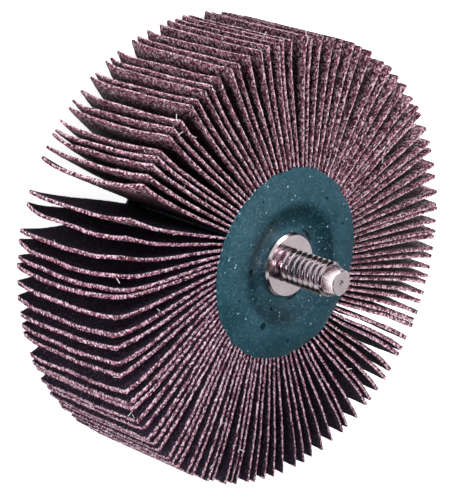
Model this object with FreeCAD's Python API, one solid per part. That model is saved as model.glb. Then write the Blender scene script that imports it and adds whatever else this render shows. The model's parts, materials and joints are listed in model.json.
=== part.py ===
"""Mounted flap wheel: a fan of abrasive cloth flaps cast into a resin hub on a threaded steel stud.

Millimetres. +Z runs along the wheel's axis towards the stud. The wheel stands on the flat back
of its resin hub, and the origin is the middle of that face. Angles go counter-clockwise as seen
from the stud.
"""
import FreeCAD, Part

import math
import os

from FreeCAD import Vector

# Wheel and flaps
WHEEL_DIA = 82.5            # over the flap tips
FLAP_WIDTH = 25.4           # of the cloth strip, along the axis
FLAP_THICK = 0.65           # coated cloth with its grain
FLAP_COUNT = 108
FLAPS_PER_NODE = 2
ROOT_CLEAR = 0.245          # between two flaps' faces at the root, where they are cast in
TRIM_UNEVEN = 0.3           # by which some flaps end short of the wheel's edge
TRIM_TURN = 1.7             # radians from flap to flap in the pattern of uneven trim
LEAN_STRAY_ANGLE = 0.5      # degrees, by which single flaps lean more or less than the rest
LEAN_STRAY_TURN = 2.4       # radians from flap to flap in the pattern of that stray
FIRST_FLAP_ANGLE = 1.2      # degrees, place of the first flap's root

# Angle round the wheel in degrees, and how far the flaps lean over there from root to tip
LEAN_ANGLES = (
    (-151, -3.0), (-117, 2.0), (-99, 8.0), (-90, 9.0), (-78, 10.0), (-66, 7.5), (-58, 8.5),
    (-48, 8.0), (-38, 6.0), (-32, 6.5), (-25.5, 5.5), (-22.1, 4.7), (-15.5, 2.9), (-12.1, 3.0),
    (-8.8, 6.8), (-5.5, 8.8), (-2.1, 11.3), (1.2, 10.6), (4.5, 10.2), (7.9, 10.6), (28, 13.5),
    (55, 11.5), (95, 7.0), (127, 10.0), (157, 10.0), (168, 7.0),
)

# Resin hub
CAP_OVERLAP = 2.2           # of the caps over the flaps' side edges
FRONT_EDGE = 0.5            # height of the front cap's edge over the flaps
FRONT_CREST = 1.6           # height of the soft ring over the flaps
FRONT_DISH = 0.1            # height of the dish round the collar over the flaps
CREST_DIA = 22.6            # of the soft ring
DISH_DIA = 14.4             # of the level floor round the collar
BACK_CAP = 0.6              # thickness of the flat back cap
CAP_ROUND = 0.3             # rounding of the caps' outer edges

# Steel stud, 1/4-20 thread
STUD_DIA = 6.35
THREAD_LENGTH = 9.7         # from the collar's face to the chamfer
POINT_LENGTH = 2.6          # smooth tapered point, with its chamfer
POINT_DIA = 5.5             # where the taper starts
END_DIA = 4.3               # of the turned end face
DIMPLE_DIA = 1.0            # centre mark in the end face
DIMPLE_DEPTH = 0.3
COLLAR_DIA = 12.0
COLLAR_SHOW_HEIGHT = 1.0    # of the collar's side that stands out of the resin
COLLAR_SUNK = 2.0           # of the collar's side that is in the resin
COLLAR_EDGE = 0.25          # chamfer round the collar's face
SHANK_DIA = 8.0
SHANK_LENGTH = 17.0         # behind the collar
GROOVE_COUNT = 3
GROOVE_WIDTH = 1.6
GROOVE_DEPTH = 0.6

# Worked out from the sizes above
FLAP_STEP = 360.0 / FLAP_COUNT
TIP_R = WHEEL_DIA / 2
ROOT_R = FLAP_COUNT * (FLAP_THICK + ROOT_CLEAR) / (2 * math.pi)
CAP_R = ROOT_R + CAP_OVERLAP
FLAPS_BACK = BACK_CAP
FLAPS_FRONT = FLAPS_BACK + FLAP_WIDTH
DISH_Z = FLAPS_FRONT + FRONT_DISH
COLLAR_FACE = DISH_Z + COLLAR_SHOW_HEIGHT
COLLAR_BACK = DISH_Z - COLLAR_SUNK


def polar(radius, degrees):
    """Point at a radius and an angle, at height zero."""
    turn = math.radians(degrees)
    return Vector(radius * math.cos(turn), radius * math.sin(turn), 0)


def section_point(radius, height):
    """Point in the half-plane that the turned pieces are revolved from."""
    return Vector(radius, 0, height)


def line(start, end):
    return Part.LineSegment(start, end).toShape()


def polyline(points):
    return [line(a, b) for a, b in zip(points, points[1:])]


def level_arc(level, end):
    """Arc that leaves the first point level and ends at the second."""
    run, rise = end.x - level.x, end.z - level.z
    radius = (run * run + rise * rise) / (2 * rise)
    half = math.atan2(rise, abs(run))
    middle = section_point(
        level.x + math.copysign(radius * math.sin(half), run),
        level.z + radius * (1 - math.cos(half)),
    )
    return Part.Arc(level, middle, end).toShape()


def s_curve(start, end):
    """Two arcs, level at both ends, that meet half way."""
    halfway = (start + end) * 0.5
    return [level_arc(start, halfway), level_arc(end, halfway)]


def corner_arc(radius, height, rise):
    """Quarter round of a cap's outer edge, ending at this radius and starting at this height."""
    inner = radius - CAP_ROUND
    bulge = CAP_ROUND * math.sin(math.radians(45))
    centre_z = height - math.copysign(CAP_ROUND, rise)
    return Part.Arc(
        section_point(inner, height),
        section_point(inner + bulge, centre_z + math.copysign(bulge, rise)),
        section_point(radius, centre_z),
    ).toShape()


def revolved(edges):
    wire = Part.Wire(Part.__sortEdges__(edges))
    return Part.Face(wire).revolve(Vector(0, 0, 0), Vector(0, 0, 1), 360)


def shank_outline():
    """Outline of the grooved shank from the axis up to the collar's back, with its grip grooves."""
    radius = SHANK_DIA / 2
    foot = COLLAR_BACK - SHANK_LENGTH
    pitch = SHANK_LENGTH / (GROOVE_COUNT + 1)
    points = [section_point(0, foot), section_point(radius, foot)]
    for groove in range(1, GROOVE_COUNT + 1):
        low = foot + groove * pitch - GROOVE_WIDTH / 2
        high = low + GROOVE_WIDTH
        points += [
            section_point(radius, low), section_point(radius - GROOVE_DEPTH, low),
            section_point(radius - GROOVE_DEPTH, high), section_point(radius, high),
        ]
    points.append(section_point(radius, COLLAR_BACK))
    return points


def sunk_outline():
    """Part of the stud's outline that the resin closes on: shank and the collar's sunk side."""
    return shank_outline() + [
        section_point(COLLAR_DIA / 2, COLLAR_BACK), section_point(COLLAR_DIA / 2, DISH_Z),
    ]


def threaded_stud():
    """Turned steel stud: shank, collar, threaded length and tapered point."""
    collar, stud, point = COLLAR_DIA / 2, STUD_DIA / 2, POINT_DIA / 2
    thread_end = COLLAR_FACE + THREAD_LENGTH
    top = thread_end + POINT_LENGTH
    outline = sunk_outline() + [
        section_point(collar, COLLAR_FACE - COLLAR_EDGE),
        section_point(collar - COLLAR_EDGE, COLLAR_FACE),
        section_point(stud, COLLAR_FACE),
        section_point(stud, thread_end),
        section_point(point, thread_end + stud - point),
        section_point(END_DIA / 2, top),
        section_point(DIMPLE_DIA / 2, top),
        section_point(0, top - DIMPLE_DEPTH),
    ]
    return revolved(polyline(outline + [outline[0]]))


def resin_core():
    """Cast resin: the barrel that holds the flap roots, and the caps on the flaps' side edges."""
    dish = section_point(DISH_DIA / 2, DISH_Z)
    crest = section_point(CREST_DIA / 2, FLAPS_FRONT + FRONT_CREST)
    rim = section_point(CAP_R - CAP_ROUND, FLAPS_FRONT + FRONT_EDGE)
    front_corner = corner_arc(CAP_R, FLAPS_FRONT + FRONT_EDGE, 1)
    back_corner = corner_arc(CAP_R, 0, -1)
    seat = sunk_outline()
    edges = polyline(seat + [dish])
    edges += s_curve(dish, crest)
    edges += [level_arc(crest, rim), front_corner]
    edges += polyline([
        section_point(CAP_R, FLAPS_FRONT + FRONT_EDGE - CAP_ROUND),
        section_point(CAP_R, FLAPS_FRONT),
        section_point(ROOT_R, FLAPS_FRONT),
        section_point(ROOT_R, FLAPS_BACK),
        section_point(CAP_R, FLAPS_BACK),
        section_point(CAP_R, CAP_ROUND),
    ])
    edges.append(back_corner)
    edges += polyline([section_point(CAP_R - CAP_ROUND, 0), section_point(0, 0), seat[0]])
    return revolved(edges)


def lean_at(degrees):
    """Lean of the flaps at an angle round the wheel, between the places in LEAN_ANGLES."""
    first_angle, first_lean = LEAN_ANGLES[0]
    degrees = first_angle + (degrees - first_angle) % 360
    stations = LEAN_ANGLES + ((first_angle + 360, first_lean),)
    for (a, lean_a), (b, lean_b) in zip(stations, stations[1:]):
        if degrees <= b:
            return lean_a + (lean_b - lean_a) * (degrees - a) / (b - a)
    return first_lean


def centre_line(root, lean, tip_r, share):
    """Point and direction of a flap's middle line at a share of the way from root to tip."""
    radius = ROOT_R + (tip_r - ROOT_R) * share
    angle = root + lean * (1 - (1 - share) ** 2)
    turn_rate = math.radians(lean) * 2 * (1 - share) / (tip_r - ROOT_R)
    slant = math.degrees(math.atan(radius * turn_rate))
    return polar(radius, angle), polar(1, angle + slant), slant


def flap(number):
    """One strip of abrasive cloth, bent as it leans, with its foot on the barrel."""
    root = FIRST_FLAP_ANGLE + number * FLAP_STEP
    lean = lean_at(root) + LEAN_STRAY_ANGLE * math.sin(LEAN_STRAY_TURN * number)
    tip_r = TIP_R - TRIM_UNEVEN * math.sin(TRIM_TURN * number) ** 2
    half = FLAP_THICK / 2

    foot, _, slant = centre_line(root, lean, tip_r, 0)
    foot_turn = math.degrees(math.asin(half / (ROOT_R * math.cos(math.radians(slant)))))
    sides = []
    for side in (-1, 1):
        points = [polar(ROOT_R, root + side * foot_turn)]
        for share in (0.5, 1):
            point, along, _ = centre_line(root, lean, tip_r, share)
            points.append(point + Vector(-along.y, along.x, 0) * (side * half))
        sides.append(points)

    (foot_a, middle_a, tip_a), (foot_b, middle_b, tip_b) = sides
    outline = Part.Wire([
        Part.Arc(foot_a, middle_a, tip_a).toShape(),
        line(tip_a, tip_b),
        Part.Arc(tip_b, middle_b, foot_b).toShape(),
        Part.Arc(foot_b, foot, foot_a).toShape(),
    ])
    strip = Part.Face(outline).extrude(Vector(0, 0, FLAP_WIDTH))
    strip.translate(Vector(0, 0, FLAPS_BACK))
    return strip


def write(shape, name):
    shape.exportStep(os.path.join("parts", name + ".step"))


os.makedirs("parts", exist_ok=True)
write(threaded_stud(), "threaded_stud")
write(resin_core(), "resin_core")
for node in range(math.ceil(FLAP_COUNT / FLAPS_PER_NODE)):
    numbers = range(node * FLAPS_PER_NODE, min((node + 1) * FLAPS_PER_NODE, FLAP_COUNT))
    write(Part.makeCompound([flap(number) for number in numbers]), f"flap_pair_{node + 1:02d}")
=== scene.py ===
"""Looks of a mounted flap wheel: abrasive cloth flaps, a cast resin hub and a threaded steel stud.

Metres, in the frame's own axes: +Z runs along the wheel's axis towards the stud.
"""
import json
import math

import bmesh
import bpy
from mathutils import Matrix, Quaternion, Vector, noise


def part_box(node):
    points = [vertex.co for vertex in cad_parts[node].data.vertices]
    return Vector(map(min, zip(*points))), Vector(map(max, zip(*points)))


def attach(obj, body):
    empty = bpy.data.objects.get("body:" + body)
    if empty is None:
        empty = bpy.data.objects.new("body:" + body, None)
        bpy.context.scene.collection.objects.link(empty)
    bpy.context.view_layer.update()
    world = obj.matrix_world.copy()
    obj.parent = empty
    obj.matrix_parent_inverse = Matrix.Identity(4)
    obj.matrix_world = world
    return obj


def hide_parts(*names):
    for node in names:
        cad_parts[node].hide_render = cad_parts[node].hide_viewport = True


bl_info = {
    "name": "Mounted flap wheel",
    "version": (1, 0, 0),
    "blender": (4, 5, 0),
    "location": "3D View > Sidebar > Flap Wheel",
    "description": "Makes the flaps, resin hub and threaded stud of a mounted flap wheel",
    "category": "Object",
}

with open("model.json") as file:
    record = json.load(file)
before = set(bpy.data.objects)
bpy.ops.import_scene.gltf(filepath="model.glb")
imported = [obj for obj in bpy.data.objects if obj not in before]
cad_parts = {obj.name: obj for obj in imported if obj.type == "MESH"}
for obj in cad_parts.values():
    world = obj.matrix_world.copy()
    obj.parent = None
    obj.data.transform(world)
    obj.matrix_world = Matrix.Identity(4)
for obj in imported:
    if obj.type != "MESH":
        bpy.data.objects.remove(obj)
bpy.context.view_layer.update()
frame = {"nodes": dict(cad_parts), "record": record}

MM = 0.001
BODY = "root"
WELD = 1e-6  # closer than this, two points of a mesh are one
STUD_MOUNT = next(m for m in frame["record"]["mounts"] if m["name"] == "threaded_stud")
THREAD_R = STUD_MOUNT["dims"]["r_mm"] * MM
FLAP_NODES = sorted(name for name in frame["nodes"] if name.startswith("flap_pair_"))
FLAPS_BACK = min(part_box(name)[0].z for name in FLAP_NODES)
FLAPS_FRONT = max(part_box(name)[1].z for name in FLAP_NODES)
HUB_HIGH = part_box("resin_core")[1]
STUD_LOW, STUD_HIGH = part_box("threaded_stud")

# Flaps
MOST_ROOM = 1.5 * MM  # of a free gap, that a flap's ripple and stray are shares of
FOOT_BAND = 0.03 * MM  # within which a flap's points are its foot, or its tip
STRAY_TURN, TWIST_TURN, CURL_TURN = 4.7, 2.1, 3.3  # radians from flap to flap in these patterns
PROUD = 1.02  # thickness of the frayed bands, with the strip's as one
REACH = 0.502  # from the strip's middle to a frayed band's outside
FIRST_SEED = 11
FIBRE = ((0, 0, 0), (0.12, 0.08, 0.55), (-0.1, 0.2, 1.0))  # curve of a thread one long
FIBRE_RADIUS = 0.05
FIBRE_SIZES = (0.4, 1.5)  # shortest and longest, with the usual length as one
CREASE = 50  # degrees

# Where frayed flaps are thicker or thinner at their tips: middle and spread in degrees, and share
SWOLLEN = (
    (28, 45, 1.1), (160, 24, 1.2), (-152, 30, 0.35), (-115, 36, 0.7), (96, 32, -0.6),
)

# Hub, radii in mm where its finish and its painted shade change
DISH_SHADE_IN = (6.4, 9.6)  # over which the painted shade on the dish's wall grows from inside
DISH_SHADE_OUT = (12.3, 10.6)  # and from outside
BARREL_R = 15.8  # inside it, the resin between the flaps is painted near-black, as painted shade
BARREL_LOW, BARREL_HIGH = FLAPS_BACK / MM + 0.1, FLAPS_FRONT / MM - 0.05

# Fineness and height in mm of the uneven face and of the uneven rim
FACE_WAVES = ((120, 0.16), (420, 0.03))
RIM_WAVES = ((260, 0.4), (800, 0.6))
DRAWN_IN = 0.1 * MM  # by which both lie under the solid's
RIM_BAND = 1.2 * MM
FLAP_CLEAR, COLLAR_CLEAR = 0.02 * MM, 0.3 * MM  # left even over the flaps and round the collar
SEAT_DEPTH = 1.5 * MM  # of the hub's recess under the collar
SEAT_LAP = 0.02 * MM  # by which the hub and the collar overlap

# Angle in degrees, radius and size in mm of the small open bubbles
PITS = (
    (15, 10.3, 0.7), (74, 12.1, 0.8), (109, 14.2, 0.45), (-108, 13.8, 0.34), (-138, 14.0, 0.32),
    (82, 8.5, 0.36), (168, 12.9, 0.28), (-41, 15.3, 0.22), (35, 13.6, 0.2), (28, 12.2, 0.16),
    (-85, 9.4, 0.18), (118, 8.0, 0.2),
)
PIT_SUNK = 0.3  # of its size, by which a bubble's middle lies in the resin

# Thread from crest to crest: share of the pitch, and height as a share of the depth
THREAD_SHAPE = (
    (0.0, -0.06), (0.03, 0.0), (0.13, 0.0), (0.16, -0.06), (0.30, -0.56), (0.44, -1.03),
    (0.48, -1.06), (0.66, -1.06), (0.70, -1.03), (0.85, -0.56), (1.0, -0.06),
)
THREAD_START = 1.5  # turns inside the collar
THREAD_STOP = 0.5 * MM  # before the point's foot
THREAD_SLOPE = 0.35 * MM  # past the point's foot, where the thread's chamfer ends
THREAD_FIT = 0.01 * MM  # by which the chamfered thread lies inside the point
THREAD_SINK = 0.1 * MM  # by which it runs into the point
POINT_SINK = 0.3 * MM  # by which the point runs into the thread
END_EDGE = 0.12 * MM  # chamfer of the end face
DIMPLE = ((0.5, 0.0), (0.1, 0.28), (0.0, 0.3))  # radius and depth in mm

# Stage: a lamp has a name, an azimuth and an elevation in degrees, a size and a power
FLOOR_GLOW = 0.93
LAMP_DISTANCE = 0.6
LAMPS = (
    ("top_lamp", -80, 26, 0.3, 2.75), ("haze_lamp", 207, 66, 0.14, 1.5),
    ("side_lamp", 18, 20, 0.3, 2.5),
)

# Azimuth and elevation of what metal reflects, and its brightness from behind round to the middle
CARD = (math.radians(-60), math.radians(35))
CARD_GREYS = (
    (0.0, 0.2), (0.22, 0.24), (0.32, 0.02), (0.45, 0.01), (0.5, 0.85), (0.58, 0.9), (0.63, 0.01),
    (0.84, 0.03), (0.9, 1.0), (1.0, 1.0),
)


# Small tools for nodes

class Term:
    """Output of a node, for use in formulas."""

    def __init__(self, tree, socket):
        self.tree = tree
        self.socket = socket

    def __add__(self, other):
        return calc(self.tree, "ADD", self, other)

    def __sub__(self, other):
        return calc(self.tree, "SUBTRACT", self, other)

    def __rsub__(self, other):
        return calc(self.tree, "SUBTRACT", other, self)

    def __mul__(self, other):
        return calc(self.tree, "MULTIPLY", self, other)

    def __truediv__(self, other):
        return calc(self.tree, "DIVIDE", self, other)

    def __rtruediv__(self, other):
        return calc(self.tree, "DIVIDE", other, self)

    def __pow__(self, other):
        return calc(self.tree, "POWER", self, other)

    def __lt__(self, other):
        return calc(self.tree, "LESS_THAN", self, other)

    def __gt__(self, other):
        return calc(self.tree, "GREATER_THAN", self, other)


def fill(tree, socket, value):
    """Links a term to an input, or sets the input's value."""
    if isinstance(value, Term):
        tree.links.new(value.socket, socket)
    else:
        socket.default_value = value


def add_node(tree, kind, wires=None, **settings):
    """New node with its settings, and its inputs by name or number: a value or a term."""
    node = tree.nodes.new(kind)
    for name, value in settings.items():
        setattr(node, name, value)
    for key, value in (wires or {}).items():
        fill(tree, node.inputs[key], value)
    return node


def term(tree, kind, wires=None, output=0, **settings):
    """Term of a new node's output."""
    return Term(tree, add_node(tree, kind, wires, **settings).outputs[output])


def calc(tree, operation, *values):
    """Term of a Math node."""
    return term(tree, "ShaderNodeMath", dict(enumerate(values)), operation=operation)


def mix_colour(tree, share, first, second):
    """Mix of two colours."""
    return term(tree, "ShaderNodeMix", {0: share, 6: first, 7: second}, 2, data_type="RGBA")


def remap(tree, value, low, high, to_low=0.0, to_high=1.0):
    """Value moved from one range to another, and held inside it."""
    return term(tree, "ShaderNodeMapRange", {0: value, 1: low, 2: high, 3: to_low, 4: to_high})


def split(tree, vector):
    """The three numbers of a vector."""
    return [Term(tree, out) for out in add_node(tree, "ShaderNodeSeparateXYZ", {0: vector}).outputs]


def join(tree, x=0.0, y=0.0, z=0.0):
    """Vector of three numbers."""
    return term(tree, "ShaderNodeCombineXYZ", {0: x, 1: y, 2: z})


def paint(red, green, blue):
    """Colour from 0 to 255 as a screen shows it, made linear."""
    def linear(value):
        value /= 255
        return value / 12.92 if value <= 0.04045 else ((value + 0.055) / 1.055) ** 2.4
    return (linear(red), linear(green), linear(blue), 1.0)


def ramp(tree, value, *stops):
    """Colour ramp with stops of place and colour."""
    node = add_node(tree, "ShaderNodeValToRGB", {0: value})
    points = node.color_ramp.elements
    while len(points) < len(stops):
        points.new(1.0)
    for point, (place, colour) in zip(points, stops):
        point.position = place
        point.color = colour
    return Term(tree, node.outputs[0])


def new_group(name, kind, inputs, outputs):
    """Node group with named sockets, the terms that it is given, and its outputs to fill."""
    group = bpy.data.node_groups.new(name, kind)
    new_socket = group.interface.new_socket
    for label, socket, default in inputs:
        made = new_socket(name=label, in_out="INPUT", socket_type="NodeSocket" + socket)
        if default is not None:
            made.default_value = default
    for label, socket in outputs:
        new_socket(name=label, in_out="OUTPUT", socket_type="NodeSocket" + socket)
    given = {out.name: Term(group, out) for out in group.nodes.new("NodeGroupInput").outputs}
    return group, given, group.nodes.new("NodeGroupOutput").inputs


def use_group(tree, build, **wires):
    """Terms of a shared group placed in a material, named for the function that builds it."""
    name = build.__name__
    node = tree.nodes.new("ShaderNodeGroup")
    node.node_tree = bpy.data.node_groups.get(name) or build(name)
    for label, value in wires.items():
        fill(tree, node.inputs[label], value)
    return [Term(tree, out) for out in node.outputs]


def new_material(name, **shader_values):
    """Material with a Principled shader, and values set on the shader's own sockets."""
    material = bpy.data.materials.new(name)
    material.use_nodes = True
    tree = material.node_tree
    shader = tree.nodes["Principled BSDF"]
    feed(tree, shader, **shader_values)
    return material, tree, shader


def feed(tree, shader, **values):
    """Fills the shader's inputs, by name with underscores for spaces."""
    for label, value in values.items():
        fill(tree, shader.inputs[label.replace("_", " ")], value)


# Effects that more than one finish uses

def grain_pattern(name):
    """Grains of one size: a tone for each grain, and the height of its rounded top."""
    group, given, out = new_group(
        name, "ShaderNodeTree",
        [("Place", "Vector", None), ("Size", "Float", 0.3)],
        [("Tone", "Float"), ("Height", "Float")],
    )
    wires = {"Vector": given["Place"], "Scale": 1.0 / given["Size"]}
    cells = add_node(group, "ShaderNodeTexVoronoi", wires)
    colour = Term(group, cells.outputs["Color"])
    fill(group, out["Tone"], term(group, "ShaderNodeSeparateColor", {0: colour}))
    fill(group, out["Height"], 1.0 - Term(group, cells.outputs["Distance"]))
    return group


def soft_patches(name):
    """Soft uneven patches from 0 to 1, of one size."""
    group, given, out = new_group(
        name, "ShaderNodeTree",
        [("Place", "Vector", None), ("Size", "Float", 5.0), ("Fineness", "Float", 3.0)],
        [("Amount", "Float")],
    )
    wires = {"Vector": given["Place"], "Scale": 1.0 / given["Size"], "Detail": given["Fineness"]}
    cloud = term(group, "ShaderNodeTexNoise", wires)
    fill(group, out["Amount"], remap(group, cloud, 0.3, 0.7))
    return group


def turned_rings(name):
    """Fine rings of a turned face round the wheel's axis, as a height."""
    group, given, out = new_group(
        name, "ShaderNodeTree",
        [("Place", "Vector", None), ("Pitch", "Float", 0.1)],
        [("Height", "Float")],
    )
    x, y, z = split(group, given["Place"])
    radius = calc(group, "SQRT", x ** 2.0 + y ** 2.0)
    line = join(group, radius / given["Pitch"], z / given["Pitch"])
    cut = term(group, "ShaderNodeTexNoise", {"Vector": line, "Scale": 0.7, "Detail": 2.0})
    fill(group, out["Height"], cut)
    return group


def stored(tree, name, output="Fac"):
    """Value that is stored on the cloth."""
    return term(tree, "ShaderNodeAttribute", None, output, attribute_name=name)


def cloth_place(tree):
    """Place on a flap's own cloth in mm, with the flap's number in the third value."""
    return stored(tree, "cloth_place", "Vector")


def object_place(tree):
    """Object coordinates in mm."""
    coordinates = term(tree, "ShaderNodeTexCoord", None, "Object")
    wires = {"Vector": coordinates, "Scale": (1 / MM,) * 3}
    return term(tree, "ShaderNodeMapping", wires, vector_type="POINT")


def bump(tree, shader, height, distance_mm, strength):
    """Relief of the surface from a height."""
    wires = {"Height": height, "Distance": distance_mm * MM, "Strength": strength}
    feed(tree, shader, Normal=term(tree, "ShaderNodeBump", wires))


# Finishes, with sizes in mm

def abrasive_grain():
    """Maroon abrasive grain whose tone varies from grain to grain, its darkest grains painted shade
    in pits and its palest painted sparkles, and painted shade deeper in the gaps between flaps.
    """
    material, tree, shader = new_material("abrasive_grain", Specular_IOR_Level=0.15)
    place = cloth_place(tree)
    coarse, coarse_top = use_group(tree, grain_pattern, Place=place, Size=0.34)
    fine, fine_top = use_group(tree, grain_pattern, Place=place, Size=0.17)
    # Tone varies from grain to grain; the near-black stops are painted shade in pits and the
    # near-white stops painted sparkles, glints off the grains
    colour = ramp(
        tree, coarse * 0.7 + fine * 0.3,
        (0.0, paint(12, 7, 14)), (0.33, paint(50, 25, 37)), (0.5, paint(130, 74, 92)),
        (0.65, paint(188, 124, 144)), (0.79, paint(240, 206, 218)), (0.9, paint(255, 252, 255)),
    )
    worn = use_group(tree, soft_patches, Place=place, Size=4.0, Fineness=3.0)[0]
    # Soft random patches darken the grain a little; the stored gap shade is painted shade, darker
    # the deeper the face lies in the gap between flaps
    tone_and_gap_shade = calc(tree, "MAXIMUM", remap(tree, worn, 0.0, 1.0, 0.0, 0.35),
                stored(tree, "cloth_gap_shade") * 0.88)
    feed(tree, shader, Base_Color=mix_colour(tree, tone_and_gap_shade, colour, paint(36, 20, 30)),
         Roughness=remap(tree, fine, 0.0, 1.0, 0.95, 0.45))
    bump(tree, shader, coarse_top + fine_top * 0.5, 0.2, 0.9)
    return material


def cloth_back():
    """Very dark purple cloth, filled and smooth, with its weave just showing."""
    material, tree, shader = new_material("cloth_back", Specular_IOR_Level=0.08)
    place = cloth_place(tree)
    wires = {"Vector": place, "Scale": 0.9, "Distortion": 0.6, "Detail": 1.0}
    warp, weft = (term(tree, "ShaderNodeTexWave", wires, "Fac", bands_direction=direction)
                  for direction in ("X", "Y"))
    weave = warp * weft
    patches = use_group(tree, soft_patches, Place=place, Size=6.0, Fineness=4.0)[0]
    dust = use_group(tree, grain_pattern, Place=place, Size=0.3)[0]
    colour = mix_colour(tree, patches, paint(20, 15, 26), paint(42, 33, 49))
    colour = mix_colour(tree, weave * 0.35, colour, paint(92, 80, 96))
    lint = remap(tree, dust, 0.78, 1.0, 0.0, 0.6)
    feed(tree, shader, Base_Color=mix_colour(tree, lint, colour, paint(112, 88, 106)),
         Roughness=remap(tree, weave, 0.0, 1.0, 1.0, 0.85))
    bump(tree, shader, weave, 0.08, 0.6)
    return material


def cut_edge():
    """Cut edge of the cloth: mauve-white threads and dark red grain, mottled."""
    material, tree, shader = new_material("cut_edge", Roughness=0.8, Specular_IOR_Level=0.15)
    place = cloth_place(tree)
    tone, top = use_group(tree, grain_pattern, Place=place, Size=0.28)
    threads = use_group(tree, soft_patches, Place=place, Size=0.7, Fineness=2.0)[0]
    red = ramp(
        tree, tone,
        (0.0, paint(12, 4, 8)), (0.4, paint(66, 22, 36)), (0.7, paint(140, 62, 84)),
        (0.93, paint(236, 190, 208)),
    )
    pale = ramp(
        tree, tone,
        (0.0, paint(44, 20, 32)), (0.4, paint(150, 100, 122)), (0.9, paint(250, 226, 240)),
    )
    pale_side = stored(tree, "cloth_depth") * -1.0 + (threads - 0.5)
    share = remap(tree, pale_side, -0.45, 0.4)
    feed(tree, shader, Base_Color=mix_colour(tree, share, red, pale))
    bump(tree, shader, top, 0.15, 0.8)
    return material


def loose_thread():
    """White cotton of a pulled thread."""
    material, tree, shader = new_material("loose_thread", Roughness=0.85, Sheen_Weight=0.3)
    fuzz = use_group(tree, soft_patches, Place=object_place(tree), Size=0.6, Fineness=2.0)[0]
    colour = mix_colour(tree, fuzz, paint(240, 232, 236), paint(255, 255, 255))
    feed(tree, shader, Base_Color=colour)
    bump(tree, shader, fuzz, 0.03, 0.5)
    return material


def hub_resin(body_colour, haze_and_sheen_colour):
    """Cast teal resin with a satin skin, pale specks and small pits, a bluish haze that is partly
    the skin's own and partly painted sheen, and painted shade on the dish's wall and between the
    flaps.
    """
    material, tree, shader = new_material(
        "hub_resin", Specular_IOR_Level=0.3, IOR=1.45, Specular_Tint=(0.5, 0.76, 1.0, 1.0))
    place = object_place(tree)
    haze_and_sheen = use_group(tree, soft_patches, Place=place, Size=7.0, Fineness=4.0)[0]
    blotch = use_group(tree, soft_patches, Place=place, Size=1.6, Fineness=5.0)[0]
    speck, speck_top = use_group(tree, grain_pattern, Place=place, Size=0.55)
    dust, dust_top = use_group(tree, grain_pattern, Place=place, Size=0.28)

    x, y, z = split(tree, place)
    radius = term(tree, "ShaderNodeVectorMath", {0: join(tree, x, y)}, "Value", operation="LENGTH")
    dish_shade = remap(tree, radius, *DISH_SHADE_IN) * remap(tree, radius, *DISH_SHADE_OUT)
    barrel_shade = (radius < BARREL_R) * ((z > BARREL_LOW) * (z < BARREL_HIGH))

    hazy_sheen = haze_and_sheen * remap(tree, blotch, 0.0, 1.0, 0.35, 1.0)
    dusty = remap(tree, dust, 0.8, 1.0, 0.0, 0.3)
    speckled = remap(tree, speck, 0.95, 0.97) * remap(tree, speck_top, 0.62, 0.8)
    # The bluish haze patches are partly the cast skin's own haze and partly painted sheen, in place
    # of the lamp's reflection
    colour = mix_colour(tree, hazy_sheen * 0.8, body_colour, haze_and_sheen_colour)
    # Painted shade: the dish's wall darkened to deep teal in the hollow round the collar
    colour = mix_colour(tree, dish_shade * 0.8, colour, paint(2, 32, 40))
    # Painted shade: the resin between the flaps painted near-black
    colour = mix_colour(tree, barrel_shade, colour, paint(13, 13, 18))
    colour = mix_colour(tree, dusty, colour, paint(96, 140, 150))
    colour = mix_colour(tree, speckled * 0.8, colour, paint(170, 205, 210))
    satin = remap(tree, blotch, 0.0, 1.0, 0.28, 0.44)
    feed(tree, shader, Base_Color=colour, Roughness=dish_shade * 0.05 + satin)
    bump(tree, shader, dust_top * 0.7 + blotch, 0.09, 0.8)
    return material


def stud_steel():
    """Bright plated steel with fine turned rings and faint handling marks."""
    material, tree, shader = new_material("stud_steel", Metallic=1.0)
    place = object_place(tree)
    rings = use_group(tree, turned_rings, Place=place, Pitch=0.12)[0]
    marks = use_group(tree, soft_patches, Place=place, Size=1.4, Fineness=5.0)[0]
    colour = mix_colour(tree, marks, paint(196, 181, 187), paint(216, 204, 209))
    feed(tree, shader, Base_Color=colour, Roughness=remap(tree, marks, 0.0, 1.0, 0.1, 0.2))
    bump(tree, shader, rings, 0.01, 0.3)
    return material


# Meshes

def round_z(radius, turn, height):
    """Point at a radius and an angle, at a height."""
    return (radius * math.cos(turn), radius * math.sin(turn), height)


def lathe(mesh, outline, steps):
    """Turns an outline of radius and height round Z, closed where the radius is zero."""
    rings = []
    for radius, height in outline:
        if radius < WELD:
            rings.append([mesh.verts.new((0, 0, height))])
            continue
        turns = [2 * math.pi * step / steps for step in range(steps)]
        rings.append([mesh.verts.new(round_z(radius, turn, height)) for turn in turns])
    for low, high in zip(rings, rings[1:]):
        for step in range(steps):
            after = (step + 1) % steps
            if len(low) == 1:
                mesh.faces.new((low[0], high[after], high[step]))
            elif len(high) == 1:
                mesh.faces.new((low[step], low[after], high[0]))
            else:
                mesh.faces.new((low[step], low[after], high[after], high[step]))


def level_arc(level, end, count):
    """Points of an arc that leaves the first point level and ends at the second."""
    run, rise = end[0] - level[0], end[1] - level[1]
    radius = (run * run + rise * rise) / (2 * rise)
    whole = 2 * math.atan2(rise, abs(run))
    points = []
    for step in range(count + 1):
        turn = whole * step / count
        points.append((level[0] + math.copysign(radius * math.sin(turn), run),
                       level[1] + radius * (1 - math.cos(turn))))
    return points


def rounded_ramp(start, end, count, rounding=0.3):
    """Points of a straight slope with rounded ends."""
    points = []
    for step in range(count + 1):
        share = step / count
        side = min(share, 1 - share)
        if side < rounding:
            rise = side * side / (2 * rounding * (1 - rounding))
        else:
            rise = (side - rounding / 2) / (1 - rounding)
        if share > 0.5:
            rise = 1 - rise
        points.append((start[0] + (end[0] - start[0]) * share,
                       start[1] + (end[1] - start[1]) * rise))
    return points


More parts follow.
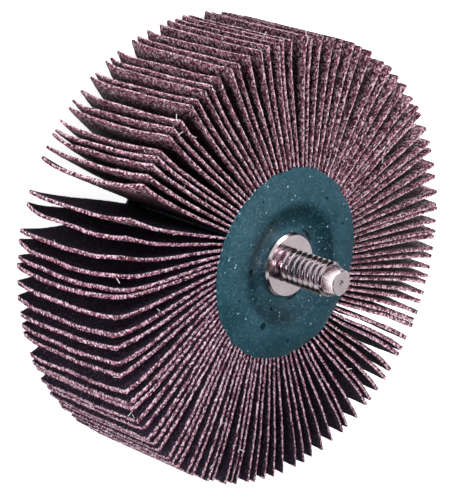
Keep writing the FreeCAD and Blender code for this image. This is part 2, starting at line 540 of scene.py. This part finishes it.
def shade(data, crease):
    """Smooth shading apart from the creases, which are sharper than an angle in degrees."""
    data.shade_smooth()
    data.set_sharp_from_angle(angle=math.radians(crease))


def add_object(name, data):
    """New object in the scene."""
    made = bpy.data.objects.new(name, data)
    bpy.context.scene.collection.objects.link(made)
    return made


def finish_mesh(mesh, name, materials, crease):
    """Object from a bmesh, with outward faces."""
    bmesh.ops.recalc_face_normals(mesh, faces=mesh.faces)
    data = bpy.data.meshes.new(name)
    mesh.to_mesh(data)
    mesh.free()
    for material in materials:
        data.materials.append(material)
    shade(data, crease)
    return add_object(name, data)


def dress(piece, nodes):
    """Rides the piece on the body, and hides the parts of the frame that it stands for."""
    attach(piece, BODY)
    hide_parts(*nodes)


def bake_modifiers(piece):
    """Turns the piece's evaluated shape into its plain mesh."""
    graph = bpy.context.evaluated_depsgraph_get()
    shape = piece.evaluated_get(graph)
    plain = bpy.data.meshes.new_from_object(shape, preserve_all_data_layers=True, depsgraph=graph)
    piece.modifiers.clear()
    piece.data = plain
    plain.name = piece.name


# Settings

def length_setting(name, description, millimetres):
    return bpy.props.FloatProperty(name=name, description=description, default=millimetres * MM,
                                   unit="LENGTH", precision=5)


def angle_setting(name, description, degrees):
    return bpy.props.FloatProperty(name=name, description=description,
                                   default=math.radians(degrees), subtype="ANGLE")


def share_setting(name, description, default):
    return bpy.props.FloatProperty(name=name, description=description, default=default,
                                   subtype="FACTOR")


def number_setting(name, description, default):
    return bpy.props.FloatProperty(name=name, description=description, default=default)


def count_setting(name, description, default):
    return bpy.props.IntProperty(name=name, description=description, default=default, min=4)


def colour_setting(name, description, default):
    return bpy.props.FloatVectorProperty(name=name, description=description, default=default,
                                         size=4, subtype="COLOR", min=0, max=1)


# Flaps

def grow_island(start):
    """All the points that are joined to this one."""
    island, edge = {start}, [start]
    while edge:
        vert = edge.pop()
        for link in vert.link_edges:
            other = link.other_vert(vert)
            if other not in island:
                island.add(other)
                edge.append(other)
    return island


def mean_angle(points):
    return math.atan2(sum(p.y for p in points), sum(p.x for p in points))


def read_flaps():
    """Each flap of the frame: its node, foot angle, lean, foot and tip radius, and thickness."""
    flaps = []
    for node in FLAP_NODES:
        mesh = bmesh.new()
        mesh.from_mesh(frame["nodes"][node].data)
        bmesh.ops.remove_doubles(mesh, verts=mesh.verts, dist=WELD)
        left = set(mesh.verts)
        while left:
            island = grow_island(min(left, key=lambda vert: vert.index))
            left -= island
            points = [Vector(vert.co[:2]) for vert in island]
            foot_r = min(point.length for point in points)
            tip_r = max(point.length for point in points)
            foot = [point for point in points if point.length < foot_r + FOOT_BAND]
            tip = [point for point in points if point.length > tip_r - FOOT_BAND]
            angle = mean_angle(foot)
            lean = (mean_angle(tip) - angle + math.pi) % (2 * math.pi) - math.pi
            thick = max((a - b).length for a in tip for b in tip)
            flaps.append({"node": node, "angle": angle, "lean": lean, "foot_r": foot_r,
                          "tip_r": tip_r, "thick": thick})
        mesh.free()
    flaps.sort(key=lambda flap: flap["angle"])
    for number, flap in enumerate(flaps):
        flap["number"] = number
        gaps = []
        for one, two in ((flaps[number - 1], flap), (flap, flaps[(number + 1) % len(flaps)])):
            spread = two["angle"] + two["lean"] - one["angle"] - one["lean"]
            gaps.append(spread % (2 * math.pi) * flap["tip_r"] - flap["thick"])
        flap["room"] = min(max(0.0, min(gaps)), MOST_ROOM)
    return flaps


FLAPS = read_flaps()


def flap_tree(settings, materials):
    """Geometry nodes that lay one strip of cloth, with rough cut edges, on each point."""
    tree, given, out = new_group("abrasive_flap_tree", "GeometryNodeTree", [
        ("Geometry", "Geometry", None), ("Foot radius", "Float", 0.015), ("Back", "Float", 0.0),
        ("Width", "Float", 0.0254), ("Thickness", "Float", 0.0008), ("Face steps", "Int", 20),
        ("Edge steps", "Int", 90), ("Edge depth", "Float", 0.0004),
        ("Edge roughness", "Float", 0.0002), ("Ripple size", "Float", 0.011),
        ("Ripple share", "Float", 0.3), ("Threads", "Float", 0.006),
        ("Thread length", "Float", 0.0016), ("Seed", "Int", 0),
    ], [("Geometry", "Geometry")])

    def attribute(name, kind="FLOAT"):
        wires = {"Name": name}
        return term(tree, "GeometryNodeInputNamedAttribute", wires, "Attribute", data_type=kind)

    def store(geometry, name, value, kind="FLOAT", domain="POINT"):
        wires = {"Geometry": geometry, "Name": name, "Value": value}
        return term(tree, "GeometryNodeStoreNamedAttribute", wires, data_type=kind, domain=domain)

    def bar(size, steps, offset):
        """Box of unit cloth with its points along each side, moved to an edge."""
        box = term(tree, "GeometryNodeMeshCube", dict(enumerate((size, *steps))))
        return term(tree, "GeometryNodeSetPosition", {"Geometry": box, "Offset": offset})

    def together(*parts):
        node = add_node(tree, "GeometryNodeJoinGeometry")
        for part in parts:
            fill(tree, node.inputs[0], part)
        return Term(tree, node.outputs[0])

    def random(kind, *limits, **wires):
        """Random value of a kind, between two limits where it has them."""
        wires["Seed"] = given["Seed"]
        node = add_node(tree, "FunctionNodeRandomValue", wires, data_type=kind)
        ends = [end for end in node.inputs if end.enabled and end.name in ("Min", "Max")]
        for end, limit in zip(ends, limits):
            end.default_value = limit
        return Term(tree, next(found for found in node.outputs if found.enabled))

    # One flat strip, a unit long and wide, with its three free edges as frayed bands
    face_steps, edge_steps = given["Face steps"], given["Edge steps"]
    face = bar((1, 1, 1), (face_steps, face_steps, 2), (0, 0, 0))
    normal = split(tree, term(tree, "GeometryNodeInputNormal"))[2]
    face = store(face, "cloth_side", normal, domain="FACE")
    band = given["Edge depth"] / given["Width"]
    reach = REACH - band * 0.5
    along = join(tree, 1.0, band, PROUD)
    rim = together(
        bar(along, (edge_steps, 2, 4), join(tree, y=reach)),
        bar(along, (edge_steps, 2, 4), join(tree, y=reach * -1.0)),
        bar(join(tree, band, 1.0, PROUD), (2, edge_steps, 4), join(tree, x=reach)),
    )
    strip = together(face, store(rim, "cloth_edge", 1.0))
    wires = {"Points": given["Geometry"], "Instance": strip}
    flaps = term(tree, "GeometryNodeInstanceOnPoints", wires)
    flaps = term(tree, "GeometryNodeRealizeInstances", {0: flaps})
    flaps = term(tree, "GeometryNodeFlipFaces", {0: flaps})

    # Place on the cloth: u from foot to tip, v from back to front, w through the thickness
    x, y, z = split(tree, term(tree, "GeometryNodeInputPosition"))
    u = x + 0.5
    u_out = 1.0 - u
    v = y + 0.5
    w = z * 2.0
    length = attribute("tip_radius") - given["Foot radius"]
    width = given["Width"]
    pattern = attribute("flap_number") * settings.seed_step + w * 0.3
    place = join(tree, u * length * (1 / MM), v * width * (1 / MM), pattern)
    # Painted shade: the grain face is marked darker the deeper it lies in the gap between flaps,
    # from the tip and, more steeply, from the front edge
    to_tip = u_out * length
    to_front = (1.0 - v) * width
    hidden = calc(tree, "MINIMUM", to_tip, to_front * settings.front_shade)
    gap_shade = remap(tree, hidden, settings.unshaded_band, settings.shaded_from)
    flaps = store(flaps, "cloth_place", place, kind="FLOAT_VECTOR")
    for name, value in (("cloth_depth", w), ("cloth_gap_shade", gap_shade), ("to_tip", to_tip),
                        ("to_front", to_front)):
        flaps = store(flaps, name, value)

    # Bend: the middle line leans most at the foot and runs radial at the tip
    lean = attribute("flap_lean")
    radius = u * length + given["Foot radius"]
    front = remap(tree, v, 0.5, 1.0) ** 2.0
    rear = remap(tree, v, 0.2, 0.0) ** 2.0
    curl = attribute("front_bend") * front + attribute("rear_curl") * rear
    angle = attribute("foot_angle") + lean * (1.0 - u_out ** 2.0) - curl * u ** 2.0
    rate = lean * 2.0 * u_out / length
    slant = angle + calc(tree, "ARCTANGENT", radius * rate)

    # Ripples, twist and thickness
    saved_place = attribute("cloth_place", "FLOAT_VECTOR")
    wires = {"Vector": saved_place, "Scale": MM / given["Ripple size"], "Detail": 1.0}
    wave = term(tree, "ShaderNodeTexNoise", wires)
    ripple = (wave - 0.5) * (attribute("flap_room") * (given["Ripple share"] * u ** 1.3))
    twist = attribute("flap_twist") * u * (v - 0.5)
    swell = attribute("tip_swell") * u + 1.0
    off = w * (given["Thickness"] * 0.5 * swell) + (ripple + twist)
    x = radius * calc(tree, "COSINE", angle) - off * calc(tree, "SINE", slant)
    y = radius * calc(tree, "SINE", angle) + off * calc(tree, "COSINE", slant)
    wires = {"Geometry": flaps, "Position": join(tree, x, y, v * width + given["Back"])}
    flaps = term(tree, "GeometryNodeSetPosition", wires)

    # Roughness of the cut edges
    wires = {"Vector": saved_place, "Scale": 1 / settings.crumb_mm, "Detail": 2.0}
    crumbs = term(tree, "ShaderNodeTexNoise", wires, "Color")
    shake = term(tree, "ShaderNodeVectorMath", {0: crumbs, 1: (0.5,) * 3}, operation="SUBTRACT")
    wires = {0: shake, "Scale": given["Edge roughness"] * swell * attribute("cloth_edge")}
    shake = term(tree, "ShaderNodeVectorMath", wires, operation="SCALE")
    flaps = term(tree, "GeometryNodeSetPosition", {"Geometry": flaps, "Offset": shake})

    # Threads pulled out of the cut edges
    wires = {"Resolution": 6, "Start": FIBRE[0], "Middle": FIBRE[1], "End": FIBRE[2]}
    curve = term(tree, "GeometryNodeCurveQuadraticBezier", wires)
    wires = {"Resolution": 5, "Radius": FIBRE_RADIUS}
    ring = term(tree, "GeometryNodeCurvePrimitiveCircle", wires)
    wires = {"Curve": curve, "Profile Curve": ring, "Fill Caps": True}
    fibre = term(tree, "GeometryNodeCurveToMesh", wires)
    from_foot, from_back, _ = split(tree, saved_place)
    outer = (from_foot > settings.thread_from_mm) * (from_back > settings.thread_above_mm)
    near = settings.corner_size
    corner = (attribute("to_tip") < near) * (attribute("to_front") < near)
    usual = corner * settings.corner_threads + given["Threads"]
    threads = term(tree, "GeometryNodeInstanceOnPoints", {
        "Points": flaps, "Instance": fibre,
        "Selection": random("BOOLEAN", Probability=usual * (outer * attribute("cloth_edge"))),
        "Rotation": random("FLOAT_VECTOR", (-math.pi,) * 3, (math.pi,) * 3),
        "Scale": random("FLOAT", *FIBRE_SIZES) * given["Thread length"],
    })
    threads = term(tree, "GeometryNodeRealizeInstances", {0: threads})
    wires = {"Geometry": threads, "Material": materials["thread"]}
    threads = term(tree, "GeometryNodeSetMaterial", wires)

    # Finishes of the strips
    side = attribute("cloth_side")
    on_edge = (attribute("cloth_edge") > 0.5) + (calc(tree, "ABSOLUTE", side) < 0.5)
    for name, chosen in (("back", True), ("grain", side > 0.5), ("edge", on_edge)):
        wires = {"Geometry": flaps, "Selection": chosen, "Material": materials[name]}
        flaps = term(tree, "GeometryNodeSetMaterial", wires)
    fill(tree, out["Geometry"], together(flaps, threads))
    return tree


def swell_at(angle):
    """Share by which a flap is thicker at its tip, at an angle round the wheel."""
    total = 0.0
    for middle, spread, share in SWOLLEN:
        away = (math.degrees(angle) - middle + 180) % 360 - 180
        total += share * math.exp(-(away / spread) ** 2)
    return total


def flap_values(flap, settings):
    """What the tree reads on a flap's point."""
    number, angle, room = flap["number"], flap["angle"], flap["room"]
    room_turn = room / flap["tip_r"]
    near_gap = math.exp(-(angle / settings.extra_bend_spread) ** 2)
    stray = settings.stray_share * room_turn * math.sin(STRAY_TURN * number)
    curl = settings.rear_curl_share * room_turn * (1 + math.sin(CURL_TURN * number))
    return {
        "foot_angle": angle,
        "flap_lean": flap["lean"] + stray,
        "tip_radius": flap["tip_r"],
        "flap_room": room,
        "flap_twist": room * settings.twist_share * math.sin(TWIST_TURN * number),
        "front_bend": settings.front_bend + settings.extra_bend * near_gap,
        "rear_curl": settings.rear_curl + curl,
        "tip_swell": swell_at(angle),
        "flap_number": float(number),
    }


def flap_points(name, flaps, settings):
    """One point for each flap, at the origin, that carries the flap's own values."""
    data = bpy.data.meshes.new(name)
    data.from_pydata([(0, 0, 0)] * len(flaps), [], [])
    rows = [flap_values(flap, settings) for flap in flaps]
    for label in rows[0]:
        layer = data.attributes.new(label, "FLOAT", "POINT")
        layer.data.foreach_set("value", [row[label] for row in rows])
    return data


class FlapSettings(bpy.types.PropertyGroup):
    """Sizes of the abrasive cloth."""
    face_steps: count_setting("Face steps", "Points along and across a flap's face", 18)
    edge_steps: count_setting("Edge steps", "Points along a flap's cut edge", 88)
    thickness_share: share_setting(
        "Thickness share", "Pressed cloth's thickness as a share of the solid's", 0.6)
    edge_depth: length_setting("Edge depth", "Depth of the frayed band of a cut edge", 0.22)
    edge_roughness: length_setting("Edge roughness", "How far the cut edges stray", 0.22)
    crumb_mm: number_setting("Crumb size", "Size of the lumps of a cut edge, in mm", 0.45)
    ripple_size: length_setting("Ripple size", "Length of the cloth's ripples", 9)
    ripple_share: share_setting("Ripple share", "Ripple as a share of the free gap", 0.6)
    twist_share: share_setting("Twist share", "Twist as a share of the free gap", 0.3)
    stray_share: share_setting(
        "Stray share", "Uneven spacing of the tips as a share of the free gap", 0.3)
    rear_curl_share: share_setting(
        "Rear curl share", "Further turn of some rear corners as a share of the free gap", 0.25)
    front_bend: angle_setting("Front bend", "Turn of the front corners against the lean", 0.6)
    extra_bend: angle_setting(
        "Extra bend", "Further turn of the front corners beside the widest gap", 1.5)
    extra_bend_spread: angle_setting(
        "Bend spread", "How far round that further turn fades", 28)
    rear_curl: angle_setting("Rear curl", "Usual turn of the rear corners", 0.5)
    corner_size: length_setting("Corner size", "Size of the frayed front corner", 0.7)
    corner_threads: share_setting(
        "Corner threads", "Further chance of a loose thread at that corner", 0.008)
    # Painted shade on the grain: bright within the first depth of the tip or front edge and dark
    # from the second on, as shade falls deeper in the gaps
    unshaded_band: length_setting("Bright band", "Depth to which the grain is worn bright", 0.6)
    shaded_from: length_setting("Dark from", "Depth from which the grain is dark", 4)
    front_shade: number_setting(
        "Front shade", "How much sooner the grain is dark at the front than at the tip", 8)
    threads: share_setting("Loose threads", "Chance of a loose thread at each edge point", 0.001)
    thread_length: length_setting("Thread length", "Usual length of a loose thread", 0.9)
    thread_from_mm: number_setting(
        "Threads from", "Way from the foot, in mm, past which threads come loose", 9)
    thread_above_mm: number_setting(
        "Threads above", "Height over the rear edge, in mm, past which threads come loose", 4)
    seed_step: number_setting("Seed step", "Step of the pattern from flap to flap", 7.3)


SET_IN_TREE = ("face_steps", "edge_steps", "edge_depth", "edge_roughness", "ripple_size",
               "ripple_share", "threads", "thread_length")


class FLAPWHEEL_OT_flaps(bpy.types.Operator):
    """Make the strips of abrasive cloth"""
    bl_idname = "flapwheel.flaps"
    bl_label = "Abrasive flaps"

    def execute(self, context):
        settings = context.scene.flap_settings
        materials = {"grain": abrasive_grain(), "back": cloth_back(), "edge": cut_edge(),
                     "thread": loose_thread()}
        tree = flap_tree(settings, materials)
        socket_id = {item.name: item.identifier for item in tree.interface.items_tree
                     if item.in_out == "INPUT"}
        values = {name.replace("_", " ").capitalize(): getattr(settings, name)
                  for name in SET_IN_TREE}
        values.update({"Back": FLAPS_BACK, "Width": FLAPS_FRONT - FLAPS_BACK})
        for order, node in enumerate(FLAP_NODES):
            flaps = [flap for flap in FLAPS if flap["node"] == node]
            name = node.replace("flap_pair", "abrasive_flaps")
            piece = add_object(name, flap_points(name, flaps, settings))
            modifier = piece.modifiers.new("flaps", "NODES")
            modifier.node_group = tree
            values.update({
                "Foot radius": flaps[0]["foot_r"], "Seed": order + FIRST_SEED,
                "Thickness": flaps[0]["thick"] * settings.thickness_share,
            })
            for label, value in values.items():
                modifier[socket_id[label]] = value
            bake_modifiers(piece)
            shade(piece.data, CREASE)
            dress(piece, [node])
        return {"FINISHED"}


# Resin hub

class HubSettings(bpy.types.PropertyGroup):
    """Sizes and colours of the cast resin."""
    edge_height: length_setting("Edge height", "Height of the cap's edge over the flaps", 0.5)
    crest_radius: length_setting("Crest radius", "Radius of the soft ring", 11.8)
    dish_radius: length_setting("Dish radius", "Radius of the level floor at the collar", 6.7)
    dish_height: length_setting("Dish height", "Height of that floor over the flaps", 0.1)
    round_edge: length_setting("Round edge", "Rounding of the caps' edges", 0.3)
    steps: count_setting("Steps", "Points round the hub", 240)
    body: colour_setting("Body colour", "Colour of the resin", paint(24, 60, 69))
    # The haze colour is partly the skin's pale haze and partly painted sheen
    haze_and_sheen: colour_setting("Haze colour", "Colour of its pale skin", paint(52, 90, 106))


def hub_outline(settings):
    """Outline from the middle of the back round to the collar and into the stud's seat."""
    radius, rounding = HUB_HIGH.x, settings.round_edge
    crest = (settings.crest_radius, HUB_HIGH.z)
    dish = (settings.dish_radius, FLAPS_FRONT + settings.dish_height)
    rim = (radius - rounding, FLAPS_FRONT + settings.edge_height)
    foot_r = min(flap["foot_r"] for flap in FLAPS)
    seat_r = STUD_HIGH.x - SEAT_LAP
    seat_z = dish[1] - SEAT_DEPTH

    def corner(height, rise):
        centre = height - rise * rounding
        turns = [math.radians(degrees) for degrees in (15, 30, 45, 60, 75, 90)]
        return [(radius - rounding + rounding * math.sin(turn),
                 centre + rise * rounding * math.cos(turn)) for turn in turns]

    outline = [(0, 0), (radius * 0.5, 0), (radius - rounding, 0)] + corner(0, -1)
    outline += [(radius, FLAPS_BACK), (foot_r, FLAPS_BACK), (foot_r, FLAPS_FRONT),
                (radius, FLAPS_FRONT)]
    outline += corner(rim[1], 1)[::-1]
    outline += level_arc(crest, rim, 22)[::-1]
    outline += rounded_ramp(crest, dish, 26)[1:]
    outline += [(seat_r, dish[1]), (seat_r, seat_z), (0, seat_z)]
    return outline


def waves_at(place, waves):
    """Sum of soft noises of some fineness and height in mm."""
    return sum(noise.noise(place * fineness) * height * MM for fineness, height in waves)


class FLAPWHEEL_OT_hub(bpy.types.Operator):
    """Make the cast resin hub"""
    bl_idname = "flapwheel.hub"
    bl_label = "Resin hub"
    crease = 35

    def execute(self, context):
        settings = context.scene.hub_settings
        mesh = bmesh.new()
        lathe(mesh, hub_outline(settings), settings.steps)
        self.cast_unevenly(mesh)
        finishes = [hub_resin(settings.body, settings.haze_and_sheen)]
        piece = finish_mesh(mesh, "cast_resin_hub", finishes, self.crease)
        self.cut_pits(context, piece)
        dress(piece, ["resin_core"])
        return {"FINISHED"}

    def cast_unevenly(self, mesh):
        """Makes the front cap's face and rim a little uneven, clear of flaps and collar."""
        lowest = FLAPS_FRONT + FLAP_CLEAR
        collar = STUD_HIGH.x + COLLAR_CLEAR
        rim = HUB_HIGH.x - RIM_BAND
        for vert in mesh.verts:
            radius = Vector(vert.co[:2]).length
            if vert.co.z < lowest or radius < collar:
                continue
            vert.co.z += waves_at(vert.co, FACE_WAVES) - DRAWN_IN
            if radius > rim:
                wander = waves_at(Vector((vert.co.x, vert.co.y, 0)), RIM_WAVES) - DRAWN_IN
                vert.co.xy *= 1 + (radius - rim) / RIM_BAND * wander / radius

    def cut_pits(self, context, piece):
        """Opens the small bubbles in the front cap."""
        context.view_layer.update()
        balls = bmesh.new()
        for degrees, radius, size in PITS:
            above = round_z(radius * MM, math.radians(degrees), HUB_HIGH.z + 5 * MM)
            _, hit, _, _ = piece.ray_cast(Vector(above), Vector((0, 0, -1)))
            place = Matrix.Translation(hit - Vector((0, 0, size * PIT_SUNK * MM)))
            bmesh.ops.create_icosphere(balls, subdivisions=2, radius=size * MM, matrix=place)
        cutter = finish_mesh(balls, "bubble_cutter", [], self.crease)
        modifier = piece.modifiers.new("bubbles", "BOOLEAN")
        modifier.object = cutter
        modifier.operation = "DIFFERENCE"
        modifier.solver = "EXACT"
        bake_modifiers(piece)
        bpy.data.objects.remove(cutter)
        shade(piece.data, self.crease)


# Threaded stud

class StudSettings(bpy.types.PropertyGroup):
    """Sizes of the turned steel stud."""
    pitch: length_setting("Thread pitch", "20 turns to the inch", 1.27)
    minor_radius: length_setting("Minor radius", "Radius at the thread's root", 2.42)
    taper_radius: length_setting("Taper radius", "Radius where the point starts", 2.75)
    end_radius: length_setting("End radius", "Radius of the end face", 2.15)
    collar_edge: length_setting("Collar edge", "Chamfer of the collar", 0.4)
    collar_depth: length_setting("Collar depth", "Height of the collar, with its sunk part", 3)
    shank_radius: length_setting("Shank radius", "Radius of the cast-in shank", 4)
    steps: count_setting("Steps", "Points round the stud", 96)


class FLAPWHEEL_OT_stud(bpy.types.Operator):
    """Make the threaded steel stud"""
    bl_idname = "flapwheel.stud"
    bl_label = "Threaded stud"
    crease = 28

    def execute(self, context):
        settings = context.scene.stud_settings
        collar, edge = STUD_HIGH.x, settings.collar_edge
        shank, point, end = settings.shank_radius, settings.taper_radius, settings.end_radius
        face = STUD_MOUNT["pos_m"][2]
        under = face - settings.collar_depth
        top = STUD_HIGH.z
        taper_low = face + STUD_MOUNT["dims"]["length_mm"] * MM + THREAD_R - point
        mesh = bmesh.new()
        lathe(mesh, [
            (0, STUD_LOW.z), (shank, STUD_LOW.z), (shank, under), (collar, under),
            (collar, face - edge), (collar - edge, face), (collar * 0.7, face), (0, face),
        ], settings.steps)
        lathe(mesh, [
            (0, taper_low - POINT_SINK), (point, taper_low - POINT_SINK), (point, taper_low),
            (end + END_EDGE, top - END_EDGE), (end, top), (end * 0.6, top),
        ] + [(radius * MM, top - depth * MM) for radius, depth in DIMPLE], settings.steps)
        self.cut_thread(mesh, settings, face - THREAD_START * settings.pitch, taper_low)
        piece = finish_mesh(mesh, "turned_steel_stud", [stud_steel()], self.crease)
        dress(piece, ["threaded_stud"])
        return {"FINISHED"}

    def cut_thread(self, mesh, settings, low, taper_low):
        """Helical thread as a shell of its own, closed inside the collar and inside the point."""
        run = taper_low - THREAD_STOP - low
        depth = THREAD_R - settings.minor_radius
        count = round(run / settings.pitch * settings.steps)
        rows = []
        for step in range(count + 1):
            turn = 2 * math.pi * step / settings.steps
            start = low + run * step / count
            row = []
            for share, rise in THREAD_SHAPE:
                height = start + share * settings.pitch
                chamfer = settings.taper_radius + max(0.0, taper_low + THREAD_SLOPE - height)
                radius = min(THREAD_R + rise * depth, chamfer - THREAD_FIT)
                height = min(height, taper_low + THREAD_SINK)
                row.append(mesh.verts.new(round_z(radius, turn, height)))
            rows.append(row)
        for one, two in zip(rows, rows[1:]):
            for step in range(len(one) - 1):
                mesh.faces.new((one[step], two[step], two[step + 1], one[step + 1]))
        verts = [vert for row in rows for vert in row]
        bmesh.ops.remove_doubles(mesh, verts=verts, dist=WELD)
        open_edges = [edge for edge in mesh.edges if edge.is_boundary]
        bmesh.ops.holes_fill(mesh, edges=open_edges, sides=0)


# Stage

class StageSettings(bpy.types.PropertyGroup):
    """Camera and light."""
    azimuth: angle_setting("Azimuth", "Side that the camera stands on", -5.51)
    elevation: angle_setting("Elevation", "Height of the camera's view", 42.18)
    roll: angle_setting("Roll", "Turn of the camera about its view", 109.19)
    distance: length_setting("Distance", "Camera to the point it aims at", 392)
    aim: bpy.props.FloatVectorProperty(
        name="Aim", description="Point that the camera aims at", size=3, subtype="XYZ",
        default=(8.17 * MM, 0.34 * MM, 18.68 * MM))
    lens: number_setting("Lens", "Focal length in mm", 158.4)
    ambient: share_setting("Ambient", "Strength of the all-round light", 0.2)
    floor_size: length_setting("Floor size", "Side of the floor", 3000)


def towards(azimuth, elevation):
    return Vector(round_z(math.cos(elevation), azimuth, math.sin(elevation)))


def ray_kinds(tree):
    """Whether a ray comes from the camera, off gloss, or through glass."""
    path = add_node(tree, "ShaderNodeLightPath")
    names = ("Is Camera Ray", "Is Glossy Ray", "Is Transmission Ray")
    return [Term(tree, path.outputs[name]) for name in names]


def lay_floor(settings):
    """Plain white floor that keeps a light shadow."""
    half = settings.floor_size / 2
    corners = [(-half, -half, 0), (half, -half, 0), (half, half, 0), (-half, half, 0)]
    data = bpy.data.meshes.new("floor")
    data.from_pydata(corners, [], [(0, 1, 2, 3)])
    floor = add_object("floor", data)
    material, tree, shader = new_material(
        "white_floor", Base_Color=(0.8, 0.8, 0.8, 1), Roughness=0.9, Specular_IOR_Level=0.1,
        Emission_Color=(1, 1, 1, 1))
    camera, glossy, clear = ray_kinds(tree)
    seen = calc(tree, "MAXIMUM", camera, calc(tree, "MAXIMUM", glossy, clear))
    feed(tree, shader, Emission_Strength=seen * FLOOR_GLOW)
    data.materials.append(material)


def light_world(settings):
    """White all-round light, with a soft gradient for what metal and resin reflect."""
    world = bpy.data.worlds.new("studio")
    bpy.context.scene.world = world
    world.use_nodes = True
    tree = world.node_tree
    camera, glossy, clear = ray_kinds(tree)
    way = term(tree, "ShaderNodeTexCoord", None, "Generated")
    wires = {0: way, 1: tuple(towards(*CARD))}
    tilt = term(tree, "ShaderNodeVectorMath", wires, "Value", operation="DOT_PRODUCT")
    greys = [(place, (level, level, level, 1)) for place, level in CARD_GREYS]
    card = ramp(tree, remap(tree, tilt, -1.0, 1.0), *greys)
    strength = glossy * card + (1.0 - glossy) * settings.ambient
    strength = calc(tree, "MAXIMUM", strength, calc(tree, "MAXIMUM", camera, clear))
    feed(tree, tree.nodes["Background"], Strength=strength, Color=(1, 1, 1, 1))


def add_softbox(name, azimuth, elevation, size, power):
    """Square soft lamp that faces the wheel."""
    data = bpy.data.lights.new(name, "AREA")
    data.size = size
    data.energy = power
    lamp = add_object(name, data)
    way = towards(math.radians(azimuth), math.radians(elevation))
    lamp.location = way * LAMP_DISTANCE
    lamp.rotation_euler = way.to_track_quat("Z", "Y").to_euler()


class FLAPWHEEL_OT_stage(bpy.types.Operator):
    """Make the camera, the lamps and the floor"""
    bl_idname = "flapwheel.stage"
    bl_label = "Camera, lamps and floor"

    def execute(self, context):
        settings = context.scene.stage_settings
        data = bpy.data.cameras.new("camera")
        data.lens = settings.lens
        data.sensor_width = 36
        data.clip_start = 0.01
        camera = add_object("camera", data)
        way = towards(settings.azimuth, settings.elevation)
        roll = Quaternion((0, 0, 1), settings.roll)
        camera.location = Vector(settings.aim) + way * settings.distance
        camera.rotation_mode = "QUATERNION"
        camera.rotation_quaternion = way.to_track_quat("Z", "Y") @ roll
        context.scene.camera = camera
        lay_floor(settings)
        light_world(settings)
        for lamp in LAMPS:
            add_softbox(*lamp)
        context.scene.view_settings.view_transform = "Standard"
        return {"FINISHED"}


class FLAPWHEEL_PT_panel(bpy.types.Panel):
    """Buttons for the flap wheel's pieces"""
    bl_label = "Flap Wheel"
    bl_idname = "FLAPWHEEL_PT_panel"
    bl_space_type = "VIEW_3D"
    bl_region_type = "UI"
    bl_category = "Flap Wheel"

    def draw(self, context):
        for operator in OPERATORS:
            self.layout.operator(operator.bl_idname)


SETTINGS = {
    "flap_settings": FlapSettings,
    "hub_settings": HubSettings,
    "stud_settings": StudSettings,
    "stage_settings": StageSettings,
}
OPERATORS = (FLAPWHEEL_OT_stage, FLAPWHEEL_OT_stud, FLAPWHEEL_OT_hub, FLAPWHEEL_OT_flaps)
CLASSES = tuple(SETTINGS.values()) + OPERATORS + (FLAPWHEEL_PT_panel,)


def register():
    for one in CLASSES:
        bpy.utils.register_class(one)
    for name, group in SETTINGS.items():
        setattr(bpy.types.Scene, name, bpy.props.PointerProperty(type=group))


def unregister():
    for name in SETTINGS:
        delattr(bpy.types.Scene, name)
    for one in reversed(CLASSES):
        bpy.utils.unregister_class(one)


def main():
    register()
    bpy.ops.flapwheel.stage()
    bpy.ops.flapwheel.stud()
    bpy.ops.flapwheel.hub()
    bpy.ops.flapwheel.flaps()
    bpy.context.view_layer.update()


if __name__ == "__main__":
    main()
